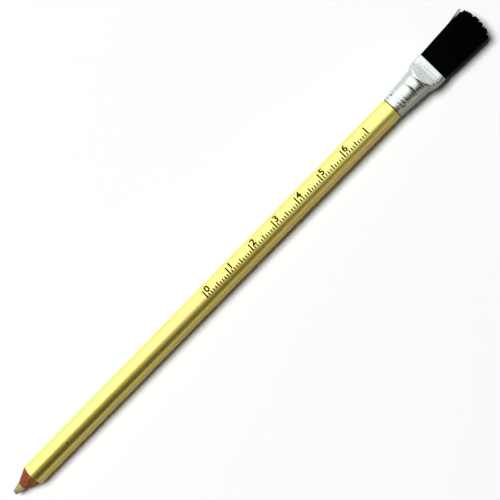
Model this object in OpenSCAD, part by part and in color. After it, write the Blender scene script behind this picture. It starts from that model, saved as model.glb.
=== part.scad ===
// Eraser pencil with a brush: a round wood-cased pencil whose core is an abrasive
// eraser, with a flared metal ferrule on its end that holds a flat tuft of bristles.
// It lies level along X, eraser tip towards -X, brush towards +X, brush width along Y.
// All sizes are in millimetres. Distances along the pencil are counted from its tip.

/* [Eraser core] */
// Diameter of the eraser core
core_d = 3; // [2:0.1:4]
// Diameter of the worn flat at the tip of the core
tip_d = 1.6; // [0.8:0.1:1.9]
// Length of core that stands bare in front of the wood
core_bare_l = 3.1; // [1.5:0.1:6]
// Rounding of the worn edge at the tip
tip_round = 0.25; // [0.05:0.05:0.35]

/* [Barrel] */
// Diameter of the lacquered barrel
barrel_d = 7.5; // [6.5:0.1:9]
// Length of the lacquered barrel behind the sharpened cone
barrel_l = 157.2; // [60:0.1:175]
// Length of the sharpened wooden cone
cone_l = 4.9; // [3:0.1:12]
// Thickness of the lacquer, all coats together
lacquer_t = 0.12; // [0.05:0.01:0.3]
// Rounding of the lacquer at the ferrule's end of the barrel
lacquer_round = 0.1; // [0.02:0.01:0.2]
// Gap left between pieces that are glued together
glue_gap = 0.02; // [0.01:0.01:0.05]

/* [Tenon] */
// Length of the turned wooden tenon inside the ferrule
tenon_l = 6; // [3:0.1:7]
// Chamfer at the end of the tenon
tenon_chamfer = 0.3; // [0.1:0.1:0.6]

/* [Ferrule] */
// Outer diameter of the ferrule where it meets the barrel
ferrule_d = 7.6; // [7:0.1:9]
// Thickness of the ferrule's sheet metal
ferrule_wall = 0.25; // [0.15:0.05:0.4]
// Length of the whole ferrule
ferrule_l = 17.6; // [15:0.1:26]
// Gap between the barrel's shoulder and the ferrule's rim
rim_gap = 0.25; // [0.05:0.05:0.5]
// Outer diameter of the ferrule where its round part ends
flare_d = 9.4; // [8:0.1:10.5]
// Length over which the round tube is pressed flat
squash_l = 3.6; // [2:0.1:5]
// Length of the parallel flat mouth
mouth_l = 2.5; // [2:0.1:5]
// Width of the flat mouth
mouth_w = 11.15; // [9:0.05:14]
// Thickness of the flat mouth
mouth_t = 5.4; // [3.6:0.1:7]
// Squareness of the mouth, where 2 is an oval and 8 nearly a rectangle
mouth_power = 5; // [2.5:0.5:8]

/* [Grooves] */
// Width of each rolled groove round the ferrule
groove_w = 0.8; // [0.4:0.1:1.2]
// Depth of each rolled groove
groove_depth = 0.28; // [0.1:0.02:0.4]
// Distance between the middles of the two grooves
groove_pitch = 3.1; // [1.8:0.1:4]

/* [Bristles] */
// Free length of the bristles outside the ferrule
tuft_l = 20.4; // [10:0.1:40]
// How far the tuft spreads on each side across its width
tuft_spread_w = 0.8; // [0:0.02:1.5]
// How far the tuft spreads on each side across its thickness
tuft_spread_t = 0.5; // [0:0.02:1.2]
// How much shorter the bristles are at the corners of the tuft
tuft_crown = 1; // [0:0.1:2]
// How uneven the trimmed bristle ends are
tuft_ragged = 0.5; // [0:0.05:1]
// Bristles in a row across the width
bristles_wide = 30; // [25:1:35]
// Rows of bristles across the thickness
bristles_deep = 13; // [12:1:14]
// How far inside the mouth the bristles leave their packed root
bristle_seat = 0.3; // [0.1:0.1:0.8]
// Clearance between the packed root and the ferrule
root_gap = 0.08; // [0.06:0.02:0.2]

/* [Hidden] */
$fn = 72;

// Radii
core_r = core_d / 2;
tip_r = tip_d / 2;
barrel_r = barrel_d / 2;
bore_r = core_r + glue_gap;
wood_r = barrel_r - lacquer_t - glue_gap;
tenon_r = ferrule_d / 2 - ferrule_wall - glue_gap;

// Stations along the pencil, from the tip
wood_at = core_bare_l;
lacquer_at = wood_at + cone_l;
shoulder_at = lacquer_at + barrel_l;
tenon_end = shoulder_at + tenon_l;
ferrule_at = shoulder_at + rim_gap;
mouth_at = ferrule_at + ferrule_l;
total_l = mouth_at + tuft_l;

// The pencil lies on whichever is wider, its barrel or the round part of the ferrule
axis_z = max(barrel_d, flare_d) / 2;

// Station at which the sharpened cone has the radius r
function cone_station(r) = wood_at + cone_l * (r - core_r) / (barrel_r - core_r);

// Stations along the ferrule, from its rim
flare_l = ferrule_l - squash_l - mouth_l;
groove_margin = 0.1;
groove_2 = flare_l - groove_w / 2 - groove_margin;
groove_1 = groove_2 - groove_pitch;
squash_steps = 8;
function groove_stations(g) = [g - groove_w / 2, g, g + groove_w / 2];
ferrule_stations = concat(
    [0], groove_stations(groove_1), groove_stations(groove_2),
    [for (i = [0:squash_steps]) flare_l + squash_l * i / squash_steps],
    [ferrule_l]);

// How far the tube has spread sideways where it is pressed flat, from 0 to 1
function widened(t) = let (c = min(max(t, 0), 1)) c * (2 - c);
// How far its faces have come down, from 0 to 1, with a softer bend at the start
function lowered(t) = let (c = min(max(t, 0), 1)) (widened(c) + c * c * (3 - 2 * c)) / 2;
// Depth of a groove at the distance e from its middle
function groove_cut(e) = groove_depth * max(0, 1 - 2 * abs(e) / groove_w);
// Half sizes of the ferrule's outside at the station d: across, up and down, squareness
function ferrule_half(d) =
    let (
        cone = (ferrule_d + (flare_d - ferrule_d) * min(d / flare_l, 1)) / 2,
        round_r = cone - groove_cut(d - groove_1) - groove_cut(d - groove_2),
        t = (d - flare_l) / squash_l
    )
    [round_r + (mouth_w / 2 - round_r) * widened(t),
     round_r + (mouth_t / 2 - round_r) * lowered(t),
     2 + (mouth_power - 2) * widened(t)];

// Signed power, which turns a circle into a rounded square
function signed_pow(c, p) = sign(c) * pow(abs(c), p);
// Closed outline with half sizes h[0] and h[1] less an inset, in the YZ plane at x
ring_n = 56;
function ring(x, h, inset) =
    [for (i = [0:ring_n - 1])
        let (t = 360 * (i + 0.5) / ring_n)
        [x, (h[0] - inset) * signed_pow(cos(t), 2 / h[2]),
         (h[1] - inset) * signed_pow(sin(t), 2 / h[2])]];

// Triangles that join ring a to ring b of n points, seen from outside
function band(a, b, n) =
    [for (i = [0:n - 1], k = [0:1])
        let (j = (i + 1) % n)
        k == 0 ? [a + i, b + i, b + j] : [a + i, b + j, a + j]];

// Solid through a list of rings, closed by a fan at each end
module lofted(rings) {
    n = len(rings[0]);
    last = len(rings) - 1;
    middle_a = [rings[0][0][0], 0, 0];
    middle_b = [rings[last][0][0], 0, 0];
    points = concat([for (r = rings, p = r) p], [middle_a, middle_b]);
    a = n * (last + 1);
    sides = [for (k = [0:last - 1], f = band(k * n, (k + 1) * n, n)) f];
    caps = [for (i = [0:n - 1], k = [0:1])
        let (j = (i + 1) % n)
        k == 0 ? [a, i, j] : [a + 1, last * n + j, last * n + i]];
    polyhedron(points, concat(sides, caps), convexity = 6);
}

// Places a shape whose axis is Z so that it lies along the pencil
module along_pencil() {
    translate([-total_l / 2, 0, axis_z]) rotate([0, 90, 0]) children();
}

// Places a shape drawn along X from the ferrule's rim
module from_rim() {
    translate([ferrule_at - total_l / 2, 0, axis_z]) children();
}

// Grooved and turned casing, before it is split into its two slats
module casing() {
    rotate_extrude()
        polygon([
            [bore_r, cone_station(bore_r)],
            [wood_r, cone_station(wood_r)],
            [wood_r, shoulder_at],
            [tenon_r, shoulder_at],
            [tenon_r, tenon_end - tenon_chamfer],
            [tenon_r - tenon_chamfer, tenon_end],
            [bore_r, tenon_end]]);
}

// Half of the casing. side is -1 for the upper slat and 1 for the lower one.
module slat(side) {
    along_pencil()
        intersection() {
            casing();
            translate([side * barrel_r, 0, tenon_end / 2])
                cube([barrel_d, 2 * barrel_d, tenon_end + 2], center = true);
        }
}

// Upper wooden half of the casing
module slat_upper() {
    color("#a5623c") slat(-1);
}

// Lower wooden half of the casing
module slat_lower() {
    color("#96552f") slat(1);
}

// Abrasive eraser rod, ground to a blunt tip, running the whole length of the wood
module eraser_core() {
    arc_n = 4;
    color("#b9b487") along_pencil()
        rotate_extrude()
            polygon(concat(
                [[0, 0]],
                [for (i = [0:arc_n])
                    let (t = 90 * i / arc_n)
                    [tip_r - tip_round * (1 - sin(t)), tip_round * (1 - cos(t))]],
                [[core_r, wood_at], [core_r, tenon_end], [0, tenon_end]]));
}

// Skin of lacquer on the barrel, cut to the cone at its front edge
module lacquer_coat() {
    arc_n = 3;
    inner_r = barrel_r - lacquer_t;
    color("#f2e79a") along_pencil()
        rotate_extrude()
            polygon(concat(
                [[inner_r, cone_station(inner_r)], [barrel_r, lacquer_at]],
                [for (i = [0:arc_n])
                    let (t = 90 * i / arc_n)
                    [barrel_r - lacquer_round * (1 - cos(t)),
                     shoulder_at - lacquer_round * (1 - sin(t))]],
                [[inner_r, shoulder_at]]));
}

// Seamless metal tube: a cone with two rolled grooves, pressed flat at its mouth
module ferrule() {
    outside = [for (d = ferrule_stations) ring(d, ferrule_half(d), 0)];
    inside = [for (d = ferrule_stations) ring(d, ferrule_half(d), ferrule_wall)];
    loops = len(ferrule_stations);
    points = concat([for (r = outside, p = r) p], [for (r = inside, p = r) p]);
    first = loops * ring_n;
    last = (loops - 1) * ring_n;
    faces = concat(
        [for (k = [0:loops - 2], f = band(k * ring_n, (k + 1) * ring_n, ring_n)) f],
        [for (k = [0:loops - 2], f = band(first + (k + 1) * ring_n, first + k * ring_n, ring_n)) f],
        band(first, 0, ring_n),
        band(last, first + last, ring_n));
    color("#cdd2d2") from_rim() polyhedron(points, faces, convexity = 6);
}

// Set resin between the tenon and the bristle roots, moulded by the inside of the ferrule
module root_plug() {
    from_d = tenon_end + glue_gap - ferrule_at;
    to_d = ferrule_l - mouth_l;
    stations = concat(
        [from_d], [for (d = ferrule_stations) if (d > from_d && d < to_d) d], [to_d]);
    color("#4a3b2a") from_rim()
        lofted([for (d = stations) ring(d, ferrule_half(d), ferrule_wall + glue_gap)]);
}

// Bristle tuft: a slice of packed roots and, on each cell of its face, one bristle.
// Bristles are counted in whole columns and rows.
columns = round(bristles_wide);
rows = round(bristles_deep);
strands = columns * rows;
face_at = ferrule_l - bristle_seat;
back_at = ferrule_l - mouth_l + glue_gap;
half_w = mouth_w / 2 - ferrule_wall - root_gap;
half_t = mouth_t / 2 - ferrule_wall - root_gap;
// The bristles bend once, where most of their spread is reached
bend_share = 0.4;
bend_spread = 0.6;
bend_at = face_at + bend_share * tuft_l;
// Corners of a bristle in its cell, which runs from -0.5 to 0.5 each way, and its taper
corner = [[-0.4, -0.36], [0.4, -0.36], [0, 0.42]];
bend_size = 0.8;
end_size = 0.45;
bend_wander = 0.08;
end_wander = 0.22;
// The rows and columns sway by this share of a cell, so that no straight slit runs through
sway = 0.3;
wander = rands(-1, 1, 4 * strands, 11);
cut = rands(0, 1, strands, 23);

// Half sizes of the tuft at the station d: straight to the bend, then straight to the end
function spread(d) =
    d < bend_at
        ? bend_spread * max(0, d - face_at) / (bend_at - face_at)
        : bend_spread + (1 - bend_spread) * (d - bend_at) / (ferrule_l + tuft_l - bend_at);
function tuft_half(d) =
    [half_w + tuft_spread_w * spread(d), half_t + tuft_spread_t * spread(d)];

// Point at the station d for u and v from -1 to 1, which fill the rounded outline evenly
function tuft_point(d, u, v) =
    let (
        h = tuft_half(d),
        p = u + 2 * sway / columns * (1 - u * u) * sin(360 * v),
        q = v + 2 * sway / rows * (1 - v * v) * sin(360 * p),
        norm = pow(pow(abs(p), mouth_power) + pow(abs(q), mouth_power), 1 / mouth_power),
        s = norm > 0 ? max(abs(p), abs(q)) / norm : 1
    )
    [d, h[0] * p * s, h[1] * q * s];

// Middle of cell i, j as u and v
function cell_u(i) = (2 * i + 1) / columns - 1;
function cell_v(j) = (2 * j + 1) / rows - 1;
// Three corners of a bristle at the station d, scaled by size and moved by dp and dq
function section(i, j, d, size, dp, dq) =
    [for (c = corner)
        tuft_point(d, cell_u(i) + 2 * (c[0] * size + dp) / columns,
                   cell_v(j) + 2 * (c[1] * size + dq) / rows)];
// Station at which the bristle of cell i, j is cut off
function end_station(i, j) =
    let (u = cell_u(i), v = cell_v(j))
    ferrule_l + tuft_l - tuft_crown * (pow(abs(u), 3) + 0.3 * v * v)
        - tuft_ragged * pow(cut[i * rows + j], 2);
// Nine points of one bristle: foot, bend and end
function strand_points(i, j) =
    let (k = 4 * (i * rows + j))
    concat(
        section(i, j, face_at, 1, 0, 0),
        section(i, j, bend_at, bend_size, wander[k] * bend_wander, wander[k + 1] * bend_wander),
        section(i, j, end_station(i, j), end_size,
                wander[k + 2] * end_wander, wander[k + 3] * end_wander));

module bristle_tuft() {
    nu = columns;
    nv = rows;
    // Grid corners of the face, then the rim of the back, its middle, and the bristles
    grid = [for (i = [0:nu], j = [0:nv]) tuft_point(face_at, 2 * i / nu - 1, 2 * j / nv - 1)];
    edge = concat(
        [for (i = [0:nu - 1]) [i, 0]], [for (j = [0:nv - 1]) [nu, j]],
        [for (i = [0:nu - 1]) [nu - i, nv]], [for (j = [0:nv - 1]) [0, nv - j]]);
    edge_n = len(edge);
    back = [for (e = edge) tuft_point(back_at, 2 * e[0] / nu - 1, 2 * e[1] / nv - 1)];
    back_0 = len(grid);
    middle = back_0 + edge_n;
    strand_0 = middle + 1;
    hairs = [for (i = [0:nu - 1], j = [0:nv - 1], p = strand_points(i, j)) p];
    function at(i, j) = i * (nv + 1) + j;
    slice = [for (k = [0:edge_n - 1], m = [0:2])
        let (
            l = (k + 1) % edge_n,
            a = at(edge[k][0], edge[k][1]),
            b = at(edge[l][0], edge[l][1])
        )
        m == 0 ? [back_0 + k, a, b] : m == 1 ? [back_0 + k, b, back_0 + l]
            : [middle, back_0 + k, back_0 + l]];
    cells = [for (i = [0:nu - 1], j = [0:nv - 1])
        let (
            f = strand_0 + 9 * (i * nv + j),
            a = at(i, j),
            b = at(i + 1, j),
            c = at(i + 1, j + 1),
            d = at(i, j + 1)
        )
        each concat(
            [[a, f + 1, b], [a, f, f + 1], [b, f + 1, c], [c, f + 1, f + 2],
             [c, f + 2, d], [d, f + 2, f], [d, f, a]],
            band(f, f + 3, 3), band(f + 3, f + 6, 3), [[f + 6, f + 8, f + 7]])];
    color("#1b1a1c") from_rim()
        polyhedron(concat(grid, back, [[back_at, 0, 0]], hairs), concat(slice, cells), convexity = 10);
}

slat_upper();
slat_lower();
eraser_core();
lacquer_coat();
ferrule();
root_plug();
bristle_tuft();
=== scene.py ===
# %% [markdown]
# # An eraser pencil with a brush
# The real object is a round wooden pencil whose core is an abrasive eraser. A flared aluminium
# ferrule on its end holds a flat tuft of bristles, for sweeping the crumbs away.
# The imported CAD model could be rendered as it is, but its surfaces are coarse and plain. So this
# lesson keeps it as the frame, and builds each piece that shows as a finer mesh in the same place.

# %% Load the frame
import math

import bmesh
import bpy
import numpy as np
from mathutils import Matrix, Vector, noise


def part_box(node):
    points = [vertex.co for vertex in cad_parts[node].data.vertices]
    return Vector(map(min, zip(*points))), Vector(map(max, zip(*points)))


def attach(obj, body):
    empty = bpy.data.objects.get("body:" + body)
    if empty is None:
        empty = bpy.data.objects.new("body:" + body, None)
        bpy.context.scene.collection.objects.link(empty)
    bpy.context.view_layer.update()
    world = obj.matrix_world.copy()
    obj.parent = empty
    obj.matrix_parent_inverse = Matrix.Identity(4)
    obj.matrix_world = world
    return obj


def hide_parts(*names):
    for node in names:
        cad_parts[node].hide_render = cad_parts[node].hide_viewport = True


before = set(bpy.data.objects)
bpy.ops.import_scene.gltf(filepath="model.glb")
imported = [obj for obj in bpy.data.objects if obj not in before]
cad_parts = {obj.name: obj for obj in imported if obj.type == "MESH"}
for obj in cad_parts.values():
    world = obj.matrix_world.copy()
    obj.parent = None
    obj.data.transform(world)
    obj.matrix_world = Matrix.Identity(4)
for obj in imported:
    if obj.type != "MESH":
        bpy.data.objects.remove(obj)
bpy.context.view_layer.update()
print("CAD nodes:", sorted(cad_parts))

# %% [markdown]
# ## Units and the axis
# Pencils are measured in millimetres and Blender in metres. Each size below is written in
# millimetres, and one factor turns it to metres when a mesh is made. Stations are counted from
# the eraser tip, as a maker would lay a rule along the pencil. The tip and the height of the axis
# are read from the frame, so the pieces land where the CAD says.

# %% Units, and where the axis runs
MM = 0.001


def node_box(name):
    """Lowest and highest corner of a CAD node, in millimetres."""
    return [np.array(corner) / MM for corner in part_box(name)]


tip_x = node_box("eraser_core")[0][0]
axis_z = (node_box("ferrule")[0][2] + node_box("ferrule")[1][2]) / 2
total_l = node_box("bristle_tuft")[1][0] - tip_x
print(f"tip at x {tip_x:.2f} mm, axis at z {axis_z:.2f} mm, {total_l:.1f} mm long")

# %% [markdown]
# ## Meshes from rings
# Almost everything on a pencil is turned, drawn or pressed from a tube, so it can be described as
# a row of rings. Curves with a bevel could make such shapes too, but rings made in code keep every
# edge, groove and dent under control, and they close into solids that could be made.

# %% Rings round the axis, and the faces between them
def round_axis(s, r, a):
    """Points at the stations s, the distances r from the axis and the angles a. Angle 0 points to +Y
    and 90 degrees up."""
    s, r, a = np.broadcast_arrays(s, r, a)
    return np.stack([tip_x + s, r * np.cos(a), axis_z + r * np.sin(a)], axis=-1)


def grid_faces(rows, columns, wrap_rows=False):
    """Quads over a grid of points whose columns run round a ring."""
    r = np.arange(rows if wrap_rows else rows - 1)[:, None]
    c = np.arange(columns)[None, :]
    below, beside = (r + 1) % rows, (c + 1) % columns
    quads = [r * columns + c, r * columns + beside, below * columns + beside, below * columns + c]
    return np.stack(quads, axis=-1).reshape(-1, 4).tolist()


def around(count):
    """Evenly spaced angles, once round."""
    return np.linspace(0, 2 * math.pi, count, endpoint=False)


print("two rings of four points give the faces", grid_faces(2, 4))


# %% Turn points and faces into a piece that rides on the pencil
def make_piece(name, points, faces, slot, replaced=(), sharp_angle=35, **marks):
    """A closed mesh given in millimetres becomes a smooth piece of the object, in metres. replaced
    names the CAD nodes that it stands for, and marks are values at the points, for the material."""
    mesh = bpy.data.meshes.new(name)
    mesh.from_pydata((np.asarray(points).reshape(-1, 3) * MM).tolist(), [], faces)
    shape = bmesh.new()
    shape.from_mesh(mesh)
    bmesh.ops.recalc_face_normals(shape, faces=shape.faces)
    open_edges = sum(not edge.is_manifold for edge in shape.edges)
    shape.to_mesh(mesh)
    shape.free()
    mesh.shade_smooth()
    mesh.set_sharp_from_angle(angle=math.radians(sharp_angle))
    for mark, values in marks.items():
        mesh.attributes.new(mark, "FLOAT", "POINT").data.foreach_set("value", np.ravel(values))
    piece = bpy.data.objects.new(name, mesh)
    bpy.context.scene.collection.objects.link(piece)
    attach(piece, "root")
    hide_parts(*replaced)
    print(f"{name}: {len(mesh.vertices)} points, {len(mesh.polygons)} faces, open edges {open_edges}")
    return piece


# %% [markdown]
# ## The camera
# The photograph looks straight down on the pencil from about half a metre, through a long lens,
# with the pencil lying on the picture's diagonal. The picture is 500 pixels square, and a pixel
# covers 0.307 mm at the height of the axis. A camera could be moved until the picture fits, but here
# the lens follows from those numbers, so it is right at once.

# %% Camera
PICTURE = 500
MM_PER_PIXEL = 0.3072
CAMERA_DISTANCE = 560
SENSOR = 36
DIAGONAL = 45.576
PICTURE_MIDDLE = (2.05, 0.68)

camera_data = bpy.data.cameras.new("camera")
camera_data.sensor_width = SENSOR
camera_data.lens = SENSOR * CAMERA_DISTANCE / (PICTURE * MM_PER_PIXEL)
camera_data.clip_start = 0.05
camera_data.clip_end = 20
camera = bpy.data.objects.new("camera", camera_data)
camera.location = Vector((*PICTURE_MIDDLE, axis_z + CAMERA_DISTANCE)) * MM
camera.rotation_euler = (0, 0, -math.radians(DIAGONAL))
bpy.context.scene.collection.objects.link(camera)
bpy.context.scene.camera = camera
print(f"lens {camera_data.lens:.0f} mm")

# %% [markdown]
# ## Colours and nodes
# Colours are picked as sRGB hex values, as on a screen, and shaders work with linear light, so one
# function converts them. A second one adds a node with its settings and links. Patterns read the
# object coordinates scaled to millimetres, so that the scale of each pattern is one over a real size.

# %% Helpers for materials
def linear(hex_colour):
    """sRGB hex such as #F2E79A to linear red, green, blue and alpha."""
    parts = [int(hex_colour[i:i + 2], 16) / 255 for i in (1, 3, 5)]
    return [c / 12.92 if c <= 0.04045 else ((c + 0.055) / 1.055) ** 2.4 for c in parts] + [1.0]


def add(tree, kind, sockets=None, stops=(), **settings):
    """Adds a node. sockets gives values or links for its inputs, and stops the colours of a ramp."""
    node = tree.nodes.new("ShaderNode" + kind)
    for name, value in settings.items():
        setattr(node, name, value)
    for key, value in (sockets or {}).items():
        if isinstance(value, bpy.types.NodeSocket):
            tree.links.new(value, node.inputs[key])
        else:
            node.inputs[key].default_value = value
    for i, (place, colour) in enumerate(stops):
        element = node.color_ramp.elements[i] if i < 2 else node.color_ramp.elements.new(place)
        element.position = place
        element.color = linear(colour)
    return node


def new_material(name):
    """An empty material, with its coordinates in millimetres."""
    material = bpy.data.materials.new(name)
    material.use_nodes = True
    tree = material.node_tree
    tree.nodes.clear()
    place = add(tree, "TexCoord").outputs["Object"]
    in_mm = add(tree, "VectorMath", {0: place, "Scale": 1 / MM}, operation="SCALE")
    return material, tree, in_mm.outputs[0]


def finish_material(material, tree, shader, *pieces):
    """Links the shader to the output and puts the material on the pieces."""
    add(tree, "OutputMaterial", {"Surface": shader.outputs[0]})
    for piece in pieces:
        piece.data.materials.clear()
        piece.data.materials.append(material)
    print("material", material.name, "on", [piece.name for piece in pieces])


# %% [markdown]
# ## Where the sharpener cut
# A pencil never sits quite true in a sharpener, so the edge of the lacquer and the edge of the wood
# wander a little as they go round. One function gives that wander, and the wood and the lacquer
# both use it, so that they still meet.

# %% The sharpened cone
CORE_D = 3.0
BARREL_D = 7.5
CORE_BARE_L = 3.1
CONE_L = 4.9
LACQUER_T = 0.12
GLUE_GAP = 0.02
core_r = CORE_D / 2
barrel_r = BARREL_D / 2
wood_r = barrel_r - LACQUER_T - GLUE_GAP
cone_slope = (barrel_r - core_r) / CONE_L


def cut_wander(a):
    """How far the sharpened edge is shifted along the pencil at the angle a, in millimetres."""
    return 0.09 * np.sin(a + 2.2) + 0.05 * np.sin(3 * a + 0.4) + 0.03 * np.sin(7 * a + 1.3)


def cone_radius(s, a):
    """Radius of the cone that the sharpener cuts."""
    return core_r + (s - CORE_BARE_L - cut_wander(a)) * cone_slope


def cone_station(r, a):
    """Station at which the cone has the radius r."""
    return CORE_BARE_L + cut_wander(a) + (r - core_r) / cone_slope


print(f"half angle of the cone {math.degrees(math.atan(cone_slope)):.1f} degrees")


# %% Smooth noise over many points
def noise_at(points, size, octaves=3):
    """Smooth noise from -1 to 1 for points in millimetres, with features of the given size."""
    flat = np.asarray(points).reshape(-1, 3) / size
    values = [noise.fractal(Vector(p), 1.0, 2.0, octaves) for p in flat]
    return np.array(values).reshape(np.asarray(points).shape[:-1])


# %% [markdown]
# ## The wooden casing
# The casing is two grooved slats of incense cedar, glued face to face round the core, and then
# turned. Only the sharpened cone shows. Its surface has fine ridges where the harder late wood
# stands proud of the soft early wood, and faint rings from the sharpener's blade. A bump alone
# would be lost in the exported mesh, so the cone is a fine grid with those ridges in its shape.
# They fade out towards both edges of the cone, where the core and the lacquer meet the wood.

# %% Half a casing
BARREL_L = 157.2
TENON_L = 6.0
TENON_CHAMFER = 0.3
FERRULE_D = 7.6
FERRULE_WALL = 0.25
bore_r = core_r + GLUE_GAP
tenon_r = FERRULE_D / 2 - FERRULE_WALL - GLUE_GAP
lacquer_at = CORE_BARE_L + CONE_L
shoulder_at = lacquer_at + BARREL_L
tenon_end = shoulder_at + TENON_L
GRAIN = 0.45
GRAIN_STRETCH = 12
RIDGE = 0.022
BLADE_PITCH = 0.28
BLADE_MARK = 0.006
RELIEF_FADE = 0.3
CONE_RINGS = 90
FEATHER = 0.2


def cone_relief(points, s):
    """Ridges of grain along the pencil and rings from the blade, in millimetres."""
    along_grain = points * [1 / GRAIN_STRETCH, 1, 1]
    grain = noise_at(along_grain, GRAIN)
    return RIDGE * grain + BLADE_MARK * np.sin(2 * math.pi * s / BLADE_PITCH)


def casing_half(angles):
    """Outer and inner arc of a slat at each station, from the feather edge to the tenon's end."""
    share = np.linspace(0, 1, CONE_RINGS)[:, None]
    first, last = cone_station(bore_r, angles), cone_station(wood_r, angles)
    s = first + share * (last - first)
    a = np.broadcast_to(angles, s.shape)
    r = cone_radius(s, a)
    spot = np.stack([s, r * np.cos(a), r * np.sin(a)], axis=-1)
    r = r + cone_relief(spot, s) * np.sin(math.pi * share) ** RELIEF_FADE
    body = [(shoulder_at, wood_r), (shoulder_at, tenon_r), (tenon_end - TENON_CHAMFER, tenon_r),
            (tenon_end, tenon_r - TENON_CHAMFER)]
    s = np.vstack([s, [[station] * len(angles) for station, _ in body]])
    r = np.vstack([r, [[radius] * len(angles) for _, radius in body]])
    outer = round_axis(s, r, angles)
    inner = round_axis(s, bore_r, angles)
    inner[0, :, 0] += FEATHER * (s[1] - s[0])
    return outer, inner


# %% The two slats
ARC_POINTS = 97


def slat(name, node, start):
    """A slat is a grid of closed cross-sections: the outer arc and back along the groove. Quads
    between the two arcs close both of its ends."""
    angles = np.linspace(start, start + math.pi, ARC_POINTS)
    outer, inner = casing_half(angles)
    section = np.concatenate([outer, inner[:, ::-1]], axis=1)
    rows, columns = section.shape[:2]
    faces = grid_faces(rows, columns)
    for first in (0, (rows - 1) * columns):
        for k in range(ARC_POINTS - 1):
            far = columns - 1 - k
            faces.append([first + k, first + k + 1, first + far - 1, first + far])
    return make_piece(name, section, faces, "casing_wood", [node])


casing_upper = slat("casing_slat_upper", "slat_upper", 0)
casing_lower = slat("casing_slat_lower", "slat_lower", math.pi)

# %% [markdown]
# ## The eraser core
# The core is rubber filled with ground pumice, cut with the wood and then worn on paper. Its tip is
# a blunt, slightly lopsided flat with a crumbled edge. Sculpting could give that wear, but noise
# that moves the points gives the same result each time, and it fades out before it reaches the
# wood. The hidden part of the core is a plain rod.

# %% Worn eraser core
TIP_D = 1.6
TIP_ROUND = 0.14
GRIT = 0.28
GRIT_DEPTH = 0.035
GRIT_FADE = 0.4
WEAR = 0.9
WEAR_DEPTH = 0.1
WEAR_REACH = 1.2
WEAR_SLANT = 0.35
NOISE_SHIFT = 7.0
MIDDLE_R = 0.08
HIDDEN_FROM = 0.6
CORE_POINTS = 96
tip_r = TIP_D / 2


def core_profile():
    """Stations and radii from the middle of the tip to the end of the core."""
    flat = [(0.0, r) for r in np.linspace(MIDDLE_R, tip_r - TIP_ROUND, 8)]
    turn = np.linspace(0, math.pi / 2, 6)[1:]
    edge = [(TIP_ROUND * (1 - math.cos(t)), tip_r - TIP_ROUND * (1 - math.sin(t))) for t in turn]
    bare = [(s, tip_r + (core_r - tip_r) * (s - TIP_ROUND) / (CORE_BARE_L - TIP_ROUND))
            for s in np.linspace(TIP_ROUND, CORE_BARE_L, 50)[1:]]
    return np.array(flat + edge + bare + [(CORE_BARE_L + HIDDEN_FROM, core_r), (tenon_end, core_r)])


def worn(points, s):
    """Moves the points of the bare end: grit over all of it, and wear that fades from the tip."""
    bare = np.clip((CORE_BARE_L + GRIT_FADE - s) / GRIT_FADE, 0, 1)
    tip = np.clip(1 - s / WEAR_REACH, 0, 1)
    grit = noise_at(points, GRIT)
    points[..., 1] += GRIT_DEPTH * grit * bare * (points[..., 1] / core_r)
    points[..., 2] += GRIT_DEPTH * grit * bare * ((points[..., 2] - axis_z) / core_r)
    hollows = noise_at(points + NOISE_SHIFT, WEAR)
    points[..., 0] += WEAR_DEPTH * tip * (hollows + WEAR_SLANT * points[..., 1])
    return points


profile = core_profile()
core_s, core_radii = profile[:, :1], profile[:, 1:]
rings = worn(round_axis(core_s, core_radii, around(CORE_POINTS)), core_s)
rows, columns = rings.shape[:2]
faces = grid_faces(rows, columns)
faces.append(list(range(columns))[::-1])
faces.append([(rows - 1) * columns + k for k in range(columns)])
core = make_piece("worn_eraser_core", rings, faces, "eraser_compound", ["eraser_core"])

# %% [markdown]
# ## The lacquer
# A dozen thin coats are pulled over the barrel through a felt ring, which leaves one hard skin
# about a tenth of a millimetre thick. The skin could be left to the wood's material, but it has an
# edge where the sharpener cut it and a soft edge at the shoulder, so it is a thin tube of its own.
# The cut edge is brittle, so it is a little ragged, and it ends in a narrow worn lip.

# %% Lacquer skin
BARREL_POINTS = 192
BARREL_RINGS = 60
LACQUER_ROUND = 0.1
CHIP = 0.02
CHIP_SIZE = 0.25
CHIP_PATH_R = 3
LIP_L = 0.05
LIP_DROP = 0.02
LIP_FLAT = 0.1
PLAIN_FROM = 0.6
inner_r = barrel_r - LACQUER_T


def shoulder_round():
    """The rounded edge of the lacquer at the shoulder, as stations and radii."""
    turn = np.linspace(0, math.pi / 2, 5)[1:]
    return [(shoulder_at - LACQUER_ROUND * (1 - math.sin(t)),
             barrel_r - LACQUER_ROUND * (1 - math.cos(t))) for t in turn]


def lacquer_rings(a):
    """Rings from the cut edge along the outside to the shoulder, and back along the inside."""
    path = CHIP_PATH_R * np.stack([0 * a, np.cos(a), np.sin(a)], axis=-1)
    front_in = cone_station(inner_r, a)
    front_out = cone_station(barrel_r, a) + CHIP * noise_at(path, CHIP_SIZE)
    lip = front_out + LIP_L
    plain = np.linspace(lacquer_at + PLAIN_FROM, shoulder_at - LACQUER_ROUND, BARREL_RINGS)
    outline = [(front_out, barrel_r - LIP_DROP), (lip, barrel_r), (lip + LIP_FLAT, barrel_r)]
    outline += [(s, barrel_r) for s in plain] + shoulder_round()
    outline += [(shoulder_at, inner_r), (front_in, inner_r)]
    return np.array([round_axis(s, r, a) for s, r in outline])


rings = lacquer_rings(around(BARREL_POINTS))
lacquer = make_piece("pearl_lacquer_skin", rings, grid_faces(*rings.shape[:2], wrap_rows=True),
                     "pearl_lacquer", ["lacquer_coat"])
print(f"a point every {math.pi * BARREL_D / BARREL_POINTS:.2f} mm round the barrel")

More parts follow.
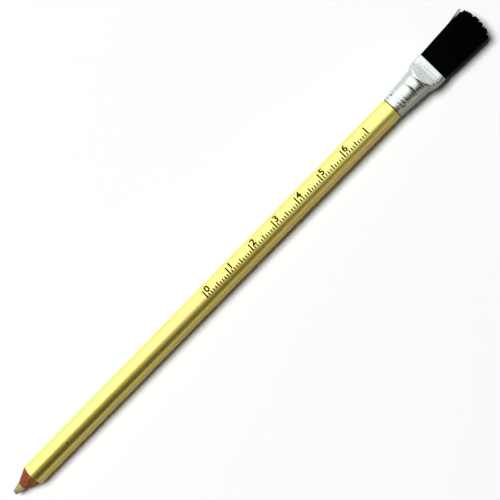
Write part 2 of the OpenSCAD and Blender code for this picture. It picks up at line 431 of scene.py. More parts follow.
# %% [markdown]
# ## The ferrule
# The ferrule is drawn from aluminium sheet into a seamless tube. It is flared, and its mouth is
# pressed flat round the bristles. Jaws that bite deepest above and below press two grooves into it.
# A serrated wheel leaves rows of small dents that grip the wood and the bristles, and four punched
# dots pin it to the tenon. Booleans could cut all these marks, but one height over a fine grid is
# quicker and stays closed. The sizes and the formula of the outline are the CAD source's.

# %% Outline of the ferrule
FERRULE_L = 17.6
RIM_GAP = 0.25
FLARE_D = 9.4
SQUASH_L = 3.6
MOUTH_L = 2.5
MOUTH_W = 11.15
MOUTH_T = 5.4
MOUTH_POWER = 5
RING_POINTS = 288
TRACE_POINTS = 4001
ferrule_at = shoulder_at + RIM_GAP
flare_l = FERRULE_L - SQUASH_L - MOUTH_L


def half_sizes(d):
    """Half width, half thickness and squareness of the tube at the distance d from its rim."""
    c = min(max((d - flare_l) / SQUASH_L, 0), 1)
    widened = c * (2 - c)
    lowered = (widened + c * c * (3 - 2 * c)) / 2
    r = (FERRULE_D + (FLARE_D - FERRULE_D) * min(d / flare_l, 1)) / 2
    return (r + (MOUTH_W / 2 - r) * widened, r + (MOUTH_T / 2 - r) * lowered,
            2 + (MOUTH_POWER - 2) * widened)


def outline_ring(half_w, half_t, power):
    """Rounded outline with points at even distances, from the +Y side over the top, and its girth."""
    t = np.linspace(0, 2 * math.pi, TRACE_POINTS)
    y = half_w * np.sign(np.cos(t)) * np.abs(np.cos(t)) ** (2 / power)
    z = half_t * np.sign(np.sin(t)) * np.abs(np.sin(t)) ** (2 / power)
    along = np.concatenate([[0], np.cumsum(np.hypot(np.diff(y), np.diff(z)))])
    even = np.linspace(0, along[-1], RING_POINTS, endpoint=False)
    return np.stack([np.interp(even, along, y), np.interp(even, along, z)], axis=-1), along[-1]


print("mouth girth", round(outline_ring(*half_sizes(FERRULE_L))[1], 1), "mm, flare girth",
      round(math.pi * FLARE_D, 1), "mm")

# %% Relief of the ferrule: grooves, dents and punched dots
GROOVE_W = 0.8
GROOVE_DEPTH = 0.28
GROOVE_PITCH = 3.1
GROOVE_SIDE = 0.35
GROOVE_TURN = 9
GROOVE_MARGIN = 0.1
BEAD_H = 0.03
BEAD_AT = 1.25
BEAD_W = 0.25
groove_2 = flare_l - GROOVE_W / 2 - GROOVE_MARGIN
groove_1 = groove_2 - GROOVE_PITCH
DENT_ROWS = [(1.7, 36), (2.9, 36), (4.15, 36), (13.3, 43), (14.45, 43), (15.65, 43)]
DENT_L = 0.42
DENT_W = 0.26
DENT_DEPTH = 0.08
DENT_SHARP = 1.15
DOTS = 4
DOT_AT = 2.6
DOT_TURN = 7
DOT_R = 0.5
DOT_DEPTH = 0.22
DOT_STEEP = 3
DOT_BEAD_AT = 1.3


def grooves(d, share):
    """How far the two grooves lie under the plain outline. share is the way round, from 0 to 1."""
    pressed = np.clip(-np.cos(4 * math.pi * (share - GROOVE_TURN / 360)), 0, 1) ** 2
    bite = GROOVE_SIDE + (1 - GROOVE_SIDE) * pressed
    e = np.array([abs(d - g) / (GROOVE_W / 2) for g in (groove_1, groove_2)])
    return GROOVE_DEPTH * bite * (np.clip(1 - e * e, 0, 1) ** 2).sum()


def bead(away, place):
    """The metal pushed up beside a mark. away and place are in half widths of the mark."""
    return BEAD_H * np.exp(-((away - place) / BEAD_W) ** 2)


def relief(d, share, girth):
    """How far grooves and dots lift the surface from the plain outline, and the dents as a share."""
    height = -grooves(d, share)
    for g in (groove_1, groove_2):
        height += bead(abs(d - g) / (GROOVE_W / 2), BEAD_AT)
    dent = np.zeros_like(share)
    for row, count in DENT_ROWS:
        aside = np.abs((share * count) % 1 - 0.5) * girth / count
        dent += np.clip(DENT_SHARP - abs(d - row) / DENT_L - aside / DENT_W, 0, 1)
    for k in range(DOTS):
        aside = (share - (k + 0.5) / DOTS + DOT_TURN / 360) * girth
        away = np.hypot(aside, d - DOT_AT) / DOT_R
        height += bead(away, DOT_BEAD_AT) - DOT_DEPTH * np.clip((1 - away) * DOT_STEEP, 0, 1)
    return height, dent


print(f"grooves {groove_1:.2f} and {groove_2:.2f} mm from the rim")


# %% [markdown]
# The rings of the ferrule lie close together where a groove or a dot crosses them, and further
# apart elsewhere. The inside of the wall follows the grooves, as it does in a real tube, because a
# groove as deep as the wall is thick would otherwise break through.

# %% Build the ferrule
EDGE_ROUND = 0.09
COARSE = 0.1
FINE = 0.04
GROOVE_ZONE = GROOVE_W * 0.7
DOT_ZONE = DOT_R * 1.5
GROOVE_INSIDE = 0.85
INSIDE_RINGS = 64
fine_zones = [np.arange(place - reach, place + reach, FINE)
              for place, reach in ((groove_1, GROOVE_ZONE), (groove_2, GROOVE_ZONE), (DOT_AT, DOT_ZONE))]
stations = np.concatenate([np.arange(0, FERRULE_L, COARSE), [FERRULE_L], *fine_zones])
stations = np.unique(np.round(stations / FINE) * FINE)
stations[-1] = FERRULE_L


def ferrule_skin(stations, inset, carved):
    """Rings of the tube's outside, which is carved, or of its inside, which is inset. Also how deep
    grooves and dots lie there, and the dents as a share."""
    rings, deep, dented = [], [], []
    for d in stations:
        ring, girth = outline_ring(*half_sizes(d))
        ahead, behind = np.roll(ring, -1, axis=0), np.roll(ring, 1, axis=0)
        outward = np.stack([(ahead - behind)[:, 1], -(ahead - behind)[:, 0]], axis=-1)
        outward /= np.linalg.norm(outward, axis=1)[:, None]
        share = np.arange(len(ring)) / len(ring)
        height, dent = relief(d, share, girth)
        deep.append(-height * carved)
        dented.append(dent * carved)
        height = height - DENT_DEPTH * dent if carved else -GROOVE_INSIDE * grooves(d, share)
        past_round = EDGE_ROUND - min(d, FERRULE_L - d)
        if carved and past_round > 0:
            height = height - (EDGE_ROUND - math.sqrt(EDGE_ROUND**2 - past_round**2))
        ring = ring + outward * (height - inset)[:, None]
        station = np.full(len(ring), tip_x + ferrule_at + d)
        rings.append(np.column_stack([station, ring[:, 0], axis_z + ring[:, 1]]))
    return np.array(rings), np.array(deep), np.array(dented)


outside = ferrule_skin(stations, 0, True)
inside = ferrule_skin(np.linspace(FERRULE_L, 0, INSIDE_RINGS), FERRULE_WALL, False)
rings, recess, burnish = [np.concatenate(pair) for pair in zip(outside, inside)]
# The recess and dent values let the material paint shade into the grooves and dots, and a highlight onto
# the dents.
ferrule = make_piece("pressed_ferrule", rings, grid_faces(*rings.shape[:2], wrap_rows=True),
                     "ferrule_aluminium", ["ferrule"], sharp_angle=60, recess=recess, burnish=burnish)

# %% [markdown]
# ## The bristles
# The tuft is a packed bundle of dyed bristles about 0.14 mm thick, fanned a little by the pressed
# mouth and trimmed to a low arch. A hair system would look right in one render, but it leaves no
# mesh. So each bristle is a closed rod with five sides, bent along its own path. The seed of the
# random numbers is fixed, so the tuft is the same each time.

# %% Where the bristles stand
TUFT_L = 20.4
ROOT_GAP = 0.08
BRISTLE_D = 0.14
BRISTLE_PITCH = 0.157
UNEVEN = 0.16
random = np.random.default_rng(4)
half_w = MOUTH_W / 2 - FERRULE_WALL - ROOT_GAP
half_t = MOUTH_T / 2 - FERRULE_WALL - ROOT_GAP


def packed(width, thickness, pitch):
    """Places in a rounded rectangle, packed like cells of a honeycomb and a little uneven."""
    places = []
    for j, z in enumerate(np.arange(-thickness, thickness, pitch * math.sqrt(3) / 2)):
        for y in np.arange(-width + (j % 2) * pitch / 2, width, pitch):
            places.append((y, z))
    places = np.array(places) + random.normal(0, UNEVEN * pitch, (len(places), 2))
    size = (np.abs(places) / [width, thickness]) ** MOUTH_POWER
    return places[size.sum(axis=1) ** (1 / MOUTH_POWER) < 1 - BRISTLE_D / 2 / thickness]


roots = packed(half_w, half_t, BRISTLE_PITCH)
print(len(roots), "bristles")

# %% [markdown]
# Bristles cling together in locks, which lean a little and end at lengths of their own, and the
# trimming blade leaves small teeth and a notch across the edge. A stray bundle at the side and a
# few single hairs bend outwards near their ends. Across the tuft, u and v run from -1 to 1.

# %% How long each bristle is
LOCKS = 46
LOCK_UNEVEN = 0.25
LOCK_LEAN = 0.09
HAIR_LEAN = 0.07
TEETH = 27
TOOTH_DEPTH = 0.8
CROWN = 1.2
CROWN_POWER = 2.2
CROWN_T = 0.2
CORNER_CUT = 0.8
CORNER_POWER = 14
NOTCH_AT, NOTCH_HALF, NOTCH_DEPTH = -0.36, 0.055, 0.5
FLYAWAYS = 7
STRAY_SHARE = 0.002
STRAY_OUT = (0.55, 0.75)
STRAY_CUT = 0.8
EDGE = 0.9
UNEVEN_CUT = 0.3
count = len(roots)
u, v = roots[:, 0] / half_w, roots[:, 1] / half_t
locks = random.uniform(-1, 1, (LOCKS, 2))
from_lock = np.hypot((u[:, None] - locks[:, 0]) * half_w, (v[:, None] - locks[:, 1]) * half_t)
near = np.argmin(from_lock, axis=1)
lock_cut = random.uniform(0, LOCK_UNEVEN, LOCKS)[near]
tooth = ((u + 1) / 2 * TEETH).astype(int).clip(0, TEETH - 1)
tooth_cut = TOOTH_DEPTH * (random.random(TEETH) ** 2)[tooth]
lock_lean = random.normal(0, LOCK_LEAN, (LOCKS, 2))[near]
hair_lean = random.normal(0, HAIR_LEAN, (count, 2))
edge_share = np.maximum(np.abs(u), np.abs(v))
strays = (random.random(count) < STRAY_SHARE) & (edge_share > EDGE)
strays[np.argsort(-u)[:FLYAWAYS]] = True
stray_out = np.where(strays, random.uniform(*STRAY_OUT, count), 0)
arch = CROWN * (np.abs(u) ** CROWN_POWER + CROWN_T * v**2) + CORNER_CUT * np.abs(u) ** CORNER_POWER
arch = np.where(strays, STRAY_CUT, arch)
notch = NOTCH_DEPTH * (np.abs(u - NOTCH_AT) < NOTCH_HALF)
cut = TUFT_L - arch - notch - lock_cut - tooth_cut - UNEVEN_CUT * random.random(count) ** 2
print(int(strays.sum()), "stray bristles, the longest", round(float(cut.max()), 1), "mm")

# %% How each bristle bends
SPREAD_W = 0.8
SPREAD_T = 0.5
SPREAD_EASE = 1.8
LOCK_PULL = 0.1
STRAY_BEND = 12


def bristle_centres(x):
    """Where each bristle's middle is when the share x of its length is passed."""
    fan = 1 - (1 - x) ** SPREAD_EASE
    spread = np.array([half_w + SPREAD_W * fan, half_t + SPREAD_T * fan])
    root = np.column_stack([u, v])
    place = root + (locks[near] - root) * LOCK_PULL * x**2
    out = root / np.maximum(edge_share, 0.01)[:, None]
    stray = out * (stray_out * x**STRAY_BEND)[:, None]
    return place * spread + (lock_lean + hair_lean) * x**2 + stray


print("middle of the first bristle:", np.round(bristle_centres(0)[0], 2), "mm at its root,",
      np.round(bristle_centres(1)[0], 2), "mm at its end")

# %% Build the tuft
SIDES = 5
STEPS = np.array([0, 0.12, 0.3, 0.52, 0.76, 1.0])
THICKNESS = (0.85, 1.15)
TAPER = 0.35
root_at = FERRULE_L - MOUTH_L + GLUE_GAP
corner_angles = np.arange(SIDES) / SIDES * 2 * math.pi
twist = random.uniform(0, 2 * math.pi, count)
thick = BRISTLE_D / 2 * random.uniform(*THICKNESS, count)
rings = []
for x in STEPS:
    centre = bristle_centres(x)
    d = root_at + x * (FERRULE_L + cut - root_at)
    r = (thick * (1 - TAPER * x**2))[:, None]
    a = twist[:, None] + corner_angles
    rings.append(np.stack([
        np.broadcast_to((tip_x + ferrule_at + d)[:, None], a.shape),
        centre[:, :1] + r * np.cos(a),
        axis_z + centre[:, 1:] + r * np.sin(a)], axis=-1))
points = np.stack(rings, axis=1)
size = len(STEPS) * SIDES
root_end, free_end = list(range(SIDES))[::-1], list(range(size - SIDES, size))
one = grid_faces(len(STEPS), SIDES) + [root_end, free_end]
faces = [[k * size + i for i in face] for k in range(count) for face in one]
tuft = make_piece("bristle_tuft_fine", points, faces, "black_bristle", ["bristle_tuft"], sharp_angle=80)

# %% [markdown]
# ## The printed scale
# A plain centimetre scale is stamped on the lacquer in black foil, as on many drawing tools. It
# could be an image, but a mesh stays sharp and needs no file. Flat text laid over a round barrel
# would sink into it, so the digits and marks are cut into narrow strips and wrapped round.

# %% Marks and digits, flat
SCALE_FROM = 84.5
SCALE_CM = 7
MARK_W = {10: 0.5, 5: 0.44, 1: 0.38}
MARK_LENGTHS = {10: 2.9, 5: 1.7, 1: 1.05}
BASE_LINE = -0.4
DIGIT_H = 2.3
DIGIT_BOLD = 0.12
DIGIT_BESIDE = 0.75
DIGIT_ABOVE = 1.25
CAP_HEIGHT = 0.72
WELD = 1e-4
INK_T = 0.012
INK_SUNK = 0.006


def flat_box(shape, x0, x1, y0, y1):
    """Adds a thin closed box to the ink, z being its thickness."""
    for vert in bmesh.ops.create_cube(shape, size=1)["verts"]:
        vert.co = Vector((x0 if vert.co.x < 0 else x1, y0 if vert.co.y < 0 else y1, vert.co.z + 0.5))


def digit_mesh(text):
    """A printed digit as a closed mesh, one unit thick."""
    curve = bpy.data.curves.new("digit", "FONT")
    curve.body = text
    curve.size = DIGIT_H / CAP_HEIGHT
    curve.extrude = 0.5
    curve.offset = DIGIT_BOLD
    holder = bpy.data.objects.new("digit", curve)
    bpy.context.scene.collection.objects.link(holder)
    seen = holder.evaluated_get(bpy.context.evaluated_depsgraph_get())
    mesh = bpy.data.meshes.new_from_object(seen)
    bpy.data.objects.remove(holder)
    return mesh


ink_shape = bmesh.new()
for tick in range(SCALE_CM * 10 + 1):
    rank = 10 if tick % 10 == 0 else 5 if tick % 5 == 0 else 1
    aside = MARK_W[rank] / 2
    flat_box(ink_shape, tick - aside, tick + aside, BASE_LINE, BASE_LINE + MARK_LENGTHS[rank])
for number in range(SCALE_CM):
    digit = digit_mesh(str(number))
    before = len(ink_shape.verts)
    ink_shape.from_mesh(digit)
    ink_shape.verts.ensure_lookup_table()
    for vert in ink_shape.verts[before:]:
        vert.co += Vector((number * 10 + DIGIT_BESIDE, BASE_LINE + DIGIT_ABOVE, 0.5))
bmesh.ops.remove_doubles(ink_shape, verts=ink_shape.verts, dist=WELD)
print("flat ink:", len(ink_shape.verts), "points")

# %% Wrap the ink round the barrel
STRIP = 0.2
SCALE_W = 4
TOP_LINE = math.pi / 2
for y in np.arange(BASE_LINE + STRIP, BASE_LINE + SCALE_W, STRIP):
    whole = ink_shape.verts[:] + ink_shape.edges[:] + ink_shape.faces[:]
    bmesh.ops.bisect_plane(ink_shape, geom=whole, plane_co=(0, y, 0), plane_no=(0, 1, 0))
bmesh.ops.triangulate(ink_shape, faces=ink_shape.faces)
for vert in ink_shape.verts:
    a = TOP_LINE - vert.co.y / barrel_r
    r = barrel_r - INK_SUNK + (INK_SUNK + INK_T) * vert.co.z
    vert.co = Vector((tip_x + SCALE_FROM + vert.co.x, r * math.cos(a), axis_z + r * math.sin(a)))
ink_points = [tuple(vert.co) for vert in ink_shape.verts]
ink_faces = [[vert.index for vert in face.verts] for face in ink_shape.faces]
ink_shape.free()
ink = make_piece("printed_scale", ink_points, ink_faces, "black_bristle")

# %% [markdown]
# ## Cedar
# Pencil wood is incense cedar: red-brown, straight-grained and soft, cut by a blade and left bare.
# Light and dark growth rings run along the pencil, with fibres a tenth of a millimetre wide between
# them. Photographed wood would need an image, so two noises stretched along the grain stand for the
# rings and the fibres. It is matt, with a roughness near 0.7. Its end in the ferrule's gap is painted
# dark, as painted shade in the narrow gap.

# %% Material: sharpened cedar
RING_SPACING = 0.9
FIBRE = 0.12
GAP_SHADE_REACH = 0.2
cedar, tree, in_mm = new_material("sharpened_cedar")
along = add(tree, "VectorMath", {0: in_mm, 1: (1 / GRAIN_STRETCH, 1, 1)}, operation="MULTIPLY").outputs[0]
growth = add(tree, "TexNoise", {"Vector": along, "Scale": 1 / RING_SPACING, "Detail": 4,
                                "Distortion": 0.6})
fibre = add(tree, "TexNoise", {"Vector": along, "Scale": 1 / FIBRE, "Detail": 3, "Roughness": 0.7})
both = add(tree, "Math", {0: growth.outputs[0], 1: fibre.outputs[0]}, operation="ADD")
half = add(tree, "Math", {0: both.outputs[0], 1: 0.5}, operation="MULTIPLY")
colour = add(tree, "ValToRGB", {0: half.outputs[0]},
             stops=[(0.36, "#421906"), (0.64, "#A5602E"), (0.5, "#803D15")])
station = add(tree, "SeparateXYZ", {0: in_mm}).outputs["X"]
tenon_x = tip_x + shoulder_at
# Painted shade: the wood turns near black just short of the shoulder, where the gap to the ferrule lies.
gap_shade = add(tree, "MapRange", {"Value": station, "From Min": tenon_x - GAP_SHADE_REACH,
                                 "From Max": tenon_x - GAP_SHADE_REACH / 2})
colour = add(tree, "MixRGB", {0: gap_shade.outputs[0], 1: colour.outputs[0], 2: linear("#17110A")})
bump = add(tree, "Bump", {"Height": fibre.outputs[0], "Strength": 0.5, "Distance": 0.03 * MM})
wood = add(tree, "BsdfPrincipled", {"Base Color": colour.outputs[0], "Roughness": 0.72,
                                    "Normal": bump.outputs[0]})
finish_material(cedar, tree, wood, casing_upper, casing_lower)

# %% [markdown]
# ## Eraser compound
# The core is vulcanised rubber full of ground pumice, greyish beige with a green cast where it has
# rubbed on paper. It is dull, with a roughness near 0.9, and grains of grit show as light and dark
# specks. The cast is strongest at the tip and fades within about two millimetres.

# %% Material: pumice rubber
SPECK = 0.16
SPECK_SHARE = 0.22
CLOUD = 0.8
DIRT_L = 2.2
DIRT_SHARE = 0.3
rubber, tree, in_mm = new_material("pumice_rubber")
cloud = add(tree, "TexNoise", {"Vector": in_mm, "Scale": 1 / CLOUD, "Detail": 4})
speck = add(tree, "TexVoronoi", {"Vector": in_mm, "Scale": 1 / SPECK})
station = add(tree, "SeparateXYZ", {0: in_mm}).outputs["X"]
dirt = add(tree, "MapRange", {"Value": station, "From Min": tip_x, "From Max": tip_x + DIRT_L,
                              "To Min": DIRT_SHARE, "To Max": 0.0})
tone = add(tree, "Math", {0: cloud.outputs[0], 1: dirt.outputs[0]}, operation="SUBTRACT")
grain = add(tree, "Math", {0: speck.outputs["Distance"], 1: SPECK_SHARE, 2: tone.outputs[0]},
            operation="MULTIPLY_ADD")
colour = add(tree, "ValToRGB", {0: grain.outputs[0]},
             stops=[(0.25, "#7E7F4A"), (0.85, "#CBBF94"), (0.55, "#A59B6C")])
bump = add(tree, "Bump", {"Height": speck.outputs["Distance"], "Strength": 0.6, "Distance": 0.03 * MM})
compound = add(tree, "BsdfPrincipled", {"Base Color": colour.outputs[0], "Roughness": 0.9,
                                        "Normal": bump.outputs[0]})
finish_material(rubber, tree, compound, core)

# %% [markdown]
# ## Pearl lacquer
# The lacquer is a pale gold nitrocellulose with mica pearl, under a clear glossy coat. The mica
# lies flat and reflects like a soft metal, so the shader is metallic under a clear coat. The flakes
# are some hundredths of a millimetre wide, and are drawn four times as coarse to show. Faint lines
# run along the barrel from the felt ring that wipes each coat, and near the tip is a tiny dark nick.

# %% Material: pearl lacquer
FLAKE = 0.12
DRAG = 0.5
DRAG_STRETCH = 0.03
FLAKE_SHARE = 0.35
NICK_AT = 22.65
NICK_SIDE = 0.7
NICK_R = 0.3
NICK_CORE = 0.6
nick_place = (tip_x + NICK_AT, -NICK_SIDE, axis_z + math.sqrt(barrel_r**2 - NICK_SIDE**2))
pearl, tree, in_mm = new_material("pearl_lacquer_gold")
flakes = add(tree, "TexVoronoi", {"Vector": in_mm, "Scale": 1 / FLAKE})
dragged = add(tree, "VectorMath", {0: in_mm, 1: (DRAG_STRETCH, 1, 1)}, operation="MULTIPLY").outputs[0]
drag = add(tree, "TexNoise", {"Vector": dragged, "Scale": 1 / DRAG, "Detail": 3})
flake_share = add(tree, "SeparateColor", {0: flakes.outputs["Color"]})
tone = add(tree, "Math", {0: flake_share.outputs[0], 1: FLAKE_SHARE, 2: drag.outputs[0]},
           operation="MULTIPLY_ADD")
colour = add(tree, "ValToRGB", {0: tone.outputs[0]},
             stops=[(0.3, "#F6E87A"), (1.0, "#FCF28C"), (0.7, "#F9EE83")])
from_nick = add(tree, "VectorMath", {0: in_mm, 1: nick_place}, operation="DISTANCE")
nick = add(tree, "MapRange", {"Value": from_nick.outputs["Value"], "From Min": NICK_R,
                              "From Max": NICK_R * NICK_CORE})
colour = add(tree, "MixRGB", {0: nick.outputs[0], 1: colour.outputs[0], 2: linear("#3A3216")})
shine = add(tree, "MapRange", {"Value": flake_share.outputs[1], "To Min": 0.33, "To Max": 0.37})
bump = add(tree, "Bump", {"Height": drag.outputs[0], "Strength": 0.06, "Distance": 0.02 * MM})
coat = add(tree, "BsdfPrincipled", {"Base Color": colour.outputs[0], "Metallic": 1.0,
                                    "Roughness": shine.outputs[0], "Normal": bump.outputs[0],
                                    "Coat Weight": 0.8, "Coat Roughness": 0.2})
finish_material(pearl, tree, coat, lacquer)

# %% [markdown]
# ## Aluminium
# The ferrule is bare drawn aluminium. Drawing leaves fine lines along it, and handling dulls it in
# soft patches. It is a metal, so the shader is fully metallic at the default IOR, with a roughness
# from 0.2 to 0.3. The grooves and dots are painted dark, a painted shade in the recesses, and the
# dents are painted lighter, a painted highlight. The points of the ferrule carry a value for each.

# %% Material: drawn aluminium
DRAW_LINE = 0.15
DRAW_STRETCH = 0.08
HANDLED = 2.5
RECESS_SHADE_FROM = 0.1
RECESS_SHADE_FULL = 0.2
aluminium, tree, in_mm = new_material("drawn_aluminium")
drawn = add(tree, "VectorMath", {0: in_mm, 1: (DRAW_STRETCH, 1, 1)}, operation="MULTIPLY").outputs[0]
lines = add(tree, "TexNoise", {"Vector": drawn, "Scale": 1 / DRAW_LINE, "Detail": 3, "Roughness": 0.6})
handled = add(tree, "TexNoise", {"Vector": in_mm, "Scale": 1 / HANDLED, "Detail": 4})
# Painted shade: where the grooves and dots lie deep, the colour is mixed towards near black.
deep = add(tree, "Attribute", attribute_name="recess")
recess_shade = add(tree, "MapRange", {"Value": deep.outputs["Fac"], "From Min": RECESS_SHADE_FROM,
                               "From Max": RECESS_SHADE_FULL})
bright = add(tree, "ValToRGB", {0: lines.outputs[0]}, stops=[(0.3, "#C4CCC8"), (0.7, "#D6DDD9")])
# Painted highlight: the dents are painted lighter, up to a near white colour.
dent_highlight_node = add(tree, "Attribute", attribute_name="burnish")
dent_highlight_mask = add(tree, "MapRange", {"Value": dent_highlight_node.outputs["Fac"], "From Min": 0.3, "From Max": 0.7})
bright = add(tree, "MixRGB", {0: dent_highlight_mask.outputs[0], 1: bright.outputs[0], 2: linear("#FAFCFB")})
# Painted shade in the recesses: the deep parts of the grooves and dots turn near black.
colour = add(tree, "MixRGB", {0: recess_shade.outputs[0], 1: bright.outputs[0], 2: linear("#2C2D29")})
shine = add(tree, "MapRange", {"Value": handled.outputs[0], "From Min": 0.3, "From Max": 0.7,
                               "To Min": 0.2, "To Max": 0.3})
bump = add(tree, "Bump", {"Height": lines.outputs[0], "Strength": 0.1, "Distance": 0.02 * MM})
metal = add(tree, "BsdfPrincipled", {"Base Color": colour.outputs[0], "Metallic": 1.0,
                                     "Roughness": shine.outputs[0], "Normal": bump.outputs[0]})
finish_material(aluminium, tree, metal, ferrule)

# %% [markdown]
# ## Resin
# The set resin inside the ferrule is a dark amber plug with small bubbles, smooth where it flowed.
# It keeps its CAD mesh, because the ferrule and the bristles hide it.

# %% Material: set resin
BUBBLE = 0.6
resin, tree, in_mm = new_material("set_resin_amber")
bubbles = add(tree, "TexVoronoi", {"Vector": in_mm, "Scale": 1 / BUBBLE})
colour = add(tree, "ValToRGB", {0: bubbles.outputs["Distance"]},
             stops=[(0.1, "#6B4A22"), (0.5, "#3E2712")])
amber = add(tree, "BsdfPrincipled", {"Base Color": colour.outputs[0], "Roughness": 0.2})
finish_material(resin, tree, amber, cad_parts["root_plug"])

# %% [markdown]
# ## Bristle
# The bristles are dyed black through, and the photograph doesn't tell which fibre they are. Light
# that falls between them is lost, and hardly any gloss shows on the tuft. So the colour is nearly
# black and the specular level low, with faint streaks along it.

# %% Material: dyed bristle
STREAK = 0.3
STREAK_STRETCH = 0.15
bristle, tree, in_mm = new_material("dyed_black_bristle")
along = add(tree, "VectorMath", {0: in_mm, 1: (STREAK_STRETCH, 1, 1)}, operation="MULTIPLY").outputs[0]
streak = add(tree, "TexNoise", {"Vector": along, "Scale": 1 / STREAK, "Detail": 2})
colour = add(tree, "ValToRGB", {0: streak.outputs[0]}, stops=[(0.35, "#020202"), (0.75, "#050505")])
hair = add(tree, "BsdfPrincipled", {"Base Color": colour.outputs[0], "Roughness": 0.5,
                                    "Specular IOR Level": 0.015})
finish_material(bristle, tree, hair, tuft)

# %% [markdown]
# ## Stamped foil
# The scale is stamped with a matt black foil that is thin in places, which a fine noise shows as a
# slightly browner black.

# %% Material: stamped black foil
THIN_SPOT = 0.25
stamp, tree, in_mm = new_material("stamped_black_foil")
thin = add(tree, "TexNoise", {"Vector": in_mm, "Scale": 1 / THIN_SPOT, "Detail": 3})
colour = add(tree, "ValToRGB", {0: thin.outputs[0]}, stops=[(0.4, "#050505"), (0.8, "#141210")])
foil = add(tree, "BsdfPrincipled", {"Base Color": colour.outputs[0], "Roughness": 0.5,
                                    "Specular IOR Level": 0.1})
finish_material(stamp, tree, foil, ink)

# %% [markdown]
# ## The stage
# The ferrule is thicker than the barrel, so the real pencil rests on the ferrule's round part and
# on the front end of its barrel. The CAD keeps the axis level, so the floor takes up that lean of a
# third of a degree. The floor is matt white paper.

# %% Floor
FLOOR_SIZE = 4000
ferrule_touch = ferrule_at + flare_l
rise = (FLARE_D - BARREL_D) / 2
lean = math.atan(rise / (ferrule_touch - lacquer_at))


def floor_height(x):
    """Height of the leaning floor, in millimetres."""
    return (tip_x + ferrule_touch - x) * math.tan(lean)


floor_mesh = bpy.data.meshes.new("floor")
half = FLOOR_SIZE / 2 * MM
corners = [(-half, -half, 0), (half, -half, 0), (half, half, 0), (-half, half, 0)]
floor_mesh.from_pydata(corners, [], [(0, 1, 2, 3)])
floor = bpy.data.objects.new("floor", floor_mesh)
floor.rotation_euler = (0, lean, 0)
floor.location = (0, 0, floor_height(0) * MM)
bpy.context.scene.collection.objects.link(floor)
paper, tree, in_mm = new_material("white_paper")
sheet = add(tree, "BsdfDiffuse", {"Color": linear("#FFFFFF")})
finish_material(paper, tree, sheet, floor)
print(f"lean {math.degrees(lean):.2f} degrees")

# %% [markdown]
# ## Light
# The photograph is lit by one broad soft light, above the pencil and a little to its +Y side. An
# area lamp four metres away does the same, as bright as white paper needs to render just short of
# white. It doesn't show in reflections: what the shiny pieces mirror is set up in the next step.

# %% Overhead lamp
def place_round(turn, angle, distance, along=0):
    """A place round the pencil, in metres: angle degrees from straight up, on the side that turn
    names, in degrees from +Y towards +X. along moves it square to that side."""
    side = Vector((math.sin(math.radians(turn)), math.cos(math.radians(turn)), 0))
    square = Vector((side.y, -side.x, 0))
    up = Vector((0, 0, 1))
    a = math.radians(angle)
    return ((side * math.sin(a) + up * math.cos(a)) * distance + square * along) * MM


def soft_lamp(name, turn, low, high, distance, ends, radiance):
    """A rectangular lamp that fills the sky between two angles from straight up, and between two
    ends along it."""
    middle, half = (low + high) / 2, math.radians(high - low) / 2
    length = ends[1] - ends[0]
    data = bpy.data.lights.new(name, "AREA")
    data.shape = "RECTANGLE"
    data.size, data.size_y = length * MM, 2 * distance * math.tan(half) * MM
    data.energy = radiance * math.pi * data.size * data.size_y
    lamp = bpy.data.objects.new(name, data)
    lamp.location = place_round(turn, middle, distance, sum(ends) / 2)
    lamp.rotation_euler = (-math.radians(middle), 0, -math.radians(turn))
    lamp.visible_camera = False
    bpy.context.scene.collection.objects.link(lamp)
    print(f"{name}: {data.size:.2f} x {data.size_y:.2f} m at {distance} mm, radiance {radiance}")
    return lamp


LAMP_TURN = -12
LAMP_ANGLES = (11, 33)
LAMP_AWAY = 4000
LAMP_ENDS = (-1300, 500)
LAMP_RADIANCE = 20
overhead = soft_lamp("overhead", LAMP_TURN, *LAMP_ANGLES, LAMP_AWAY, LAMP_ENDS, LAMP_RADIANCE)
overhead.visible_glossy = False

# %% [markdown]
# ## Reflections
# A shiny round thing shows its surroundings as bands. Photographers draw its shape with white and
# dark cards, and so does this scene. A glowing card stands for a bright window on the +Y side, and
# its edge wanders as it runs along the pencil. Past that edge lie the matt cards: warm, brown and
# beige ones for the barrel, greenish and grey ones for the ferrule, and two on the floor. A lamp
# can't be cut to such shapes, so the cards are bent round the pencil. They show in reflections only
# and throw no shadow, so they neither light the pencil nor darken the floor.
# The camera is near, so a place on the pencil mirrors the cards further out, by SEEN_SPREAD.

# %% Cards: sizes and shades
CARD_AWAY = 753
SEEN_SPREAD = 1 + CARD_AWAY / CAMERA_DISTANCE
EDGE_STATIONS = [-85, -30, 25, 45, 64, 76]
EDGE_ANGLES = [12, 15, -14, -30, -34, -8]
WINDOW_TOP = 80
WINDOW_GLOW = 1.65
FAR = 1600
END_FROM = 15 * SEEN_SPREAD
FERRULE_FROM = 63 * SEEN_SPREAD
WINDOW_END = 110 * SEEN_SPREAD
WINDOW_EDGE = None
CURVED_CARDS = [
    ("warm_card", (-FAR, FERRULE_FROM), (WINDOW_EDGE, -20), "#795828"),
    ("brown_card", (-FAR, END_FROM), (-20, -67), "#341F08"),
    ("beige_card", (-FAR, END_FROM), (-67, -89), "#E0D2B8"),
    ("end_brown_card", (END_FROM, FERRULE_FROM), (-20, -50), "#5C5446"),
    ("end_beige_card", (END_FROM, FERRULE_FROM), (-50, -89), "#E0D2B8"),
    ("dark_card", (FERRULE_FROM, WINDOW_END), (WINDOW_EDGE, -50), "#5C6456"),
    ("far_card", (WINDOW_END, FAR), (-18, -50), "#A4ABA0"),
    ("grey_card", (FERRULE_FROM, FAR), (-50, -89), "#C4C2B8"),
]
FLOOR_CARDS = [(-180, 62, "#9C8E8A"), (62, 150, "#989690")]
FLOOR_CARD_Y = (-6, -750)
CARD_LIFT = 0.2


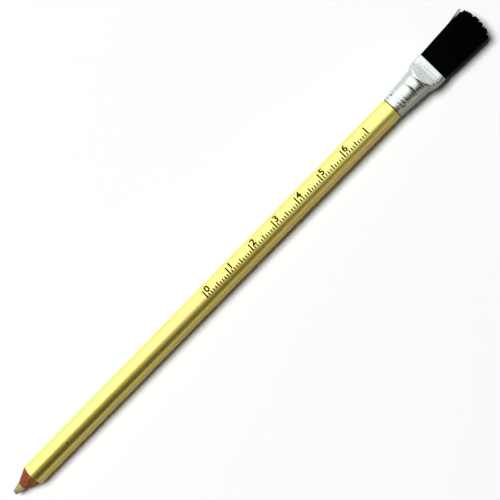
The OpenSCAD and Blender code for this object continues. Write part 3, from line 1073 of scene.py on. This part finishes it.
def edge_angle(x):
    """Where the window ends and the dark begins, in degrees from straight up, for the place x on a
    card. It is given for places on the pencil."""
    return np.interp(x / SEEN_SPREAD, EDGE_STATIONS, EDGE_ANGLES)


print(f"a card {CARD_AWAY} mm away is seen {SEEN_SPREAD:.2f} times as long as the pencil")

# %% Put up the cards
CARD_COLUMNS = 60
CARD_ROWS = 12


def stage_card(name, points, faces, hex_colour, glow=0):
    """A matt or a glowing card that shows in reflections only, and throws no shadow."""
    mesh = bpy.data.meshes.new(name)
    mesh.from_pydata(points, [], faces)
    card = bpy.data.objects.new(name, mesh)
    card.visible_camera = False
    card.visible_diffuse = False
    card.visible_shadow = False
    bpy.context.scene.collection.objects.link(card)
    material, tree, in_mm = new_material(name + "_paint")
    if glow:
        paint = add(tree, "Emission", {"Color": linear(hex_colour), "Strength": glow})
    else:
        paint = add(tree, "BsdfDiffuse", {"Color": linear(hex_colour)})
    finish_material(material, tree, paint, card)


def curved_card(name, ends, angles, hex_colour, glow=0):
    """A card bent round the pencil between two angles from straight up, +Y being positive. An angle
    of WINDOW_EDGE follows the edge of the window."""
    points = []
    for x in np.linspace(*ends, CARD_COLUMNS):
        first, last = [edge_angle(x) if a is WINDOW_EDGE else a for a in angles]
        points += [place_round(0, a, CARD_AWAY, x) for a in np.linspace(first, last, CARD_ROWS)]
    faces = [(k, k + 1, k + CARD_ROWS + 1, k + CARD_ROWS)
             for column in range(CARD_COLUMNS - 1)
             for k in range(column * CARD_ROWS, (column + 1) * CARD_ROWS - 1)]
    stage_card(name, points, faces, hex_colour, glow)


curved_card("window", (-FAR, WINDOW_END), (WINDOW_TOP, WINDOW_EDGE), "#FFFFFF", WINDOW_GLOW)
for card in CURVED_CARDS:
    curved_card(*card)
for k, (*ends, hex_colour) in enumerate(FLOOR_CARDS):
    corners = [Vector((x, y, floor_height(x) + CARD_LIFT)) * MM for x in ends for y in FLOOR_CARD_Y]
    stage_card(f"floor_card_{k}", corners, [(0, 1, 3, 2)], hex_colour)

# %% [markdown]
# ## The room
# The world is white where the camera, gloss or glass sees it, so the background is white and metal
# mirrors it. For all other light it is almost black, so the lamp alone draws the shadow.

# %% World
ROOM_SEEN = 1.0
ROOM_LIGHT = 0.02
world = bpy.data.worlds.new("studio")
bpy.context.scene.world = world
world.use_nodes = True
tree = world.node_tree
tree.nodes.clear()
path = add(tree, "LightPath")
seen = path.outputs["Is Camera Ray"]
for kind in ("Is Glossy Ray", "Is Transmission Ray"):
    seen = add(tree, "Math", {0: seen, 1: path.outputs[kind]}, operation="MAXIMUM").outputs[0]
strength = add(tree, "MapRange", {"Value": seen, "To Min": ROOM_LIGHT, "To Max": ROOM_SEEN})
room = add(tree, "Background", {"Strength": strength.outputs[0], "Color": linear("#FFFFFF")})
add(tree, "OutputWorld", {"Surface": room.outputs[0]})
bpy.context.scene.view_settings.view_transform = "Standard"
print("the world shows at strength", ROOM_SEEN, "and lights at", ROOM_LIGHT)
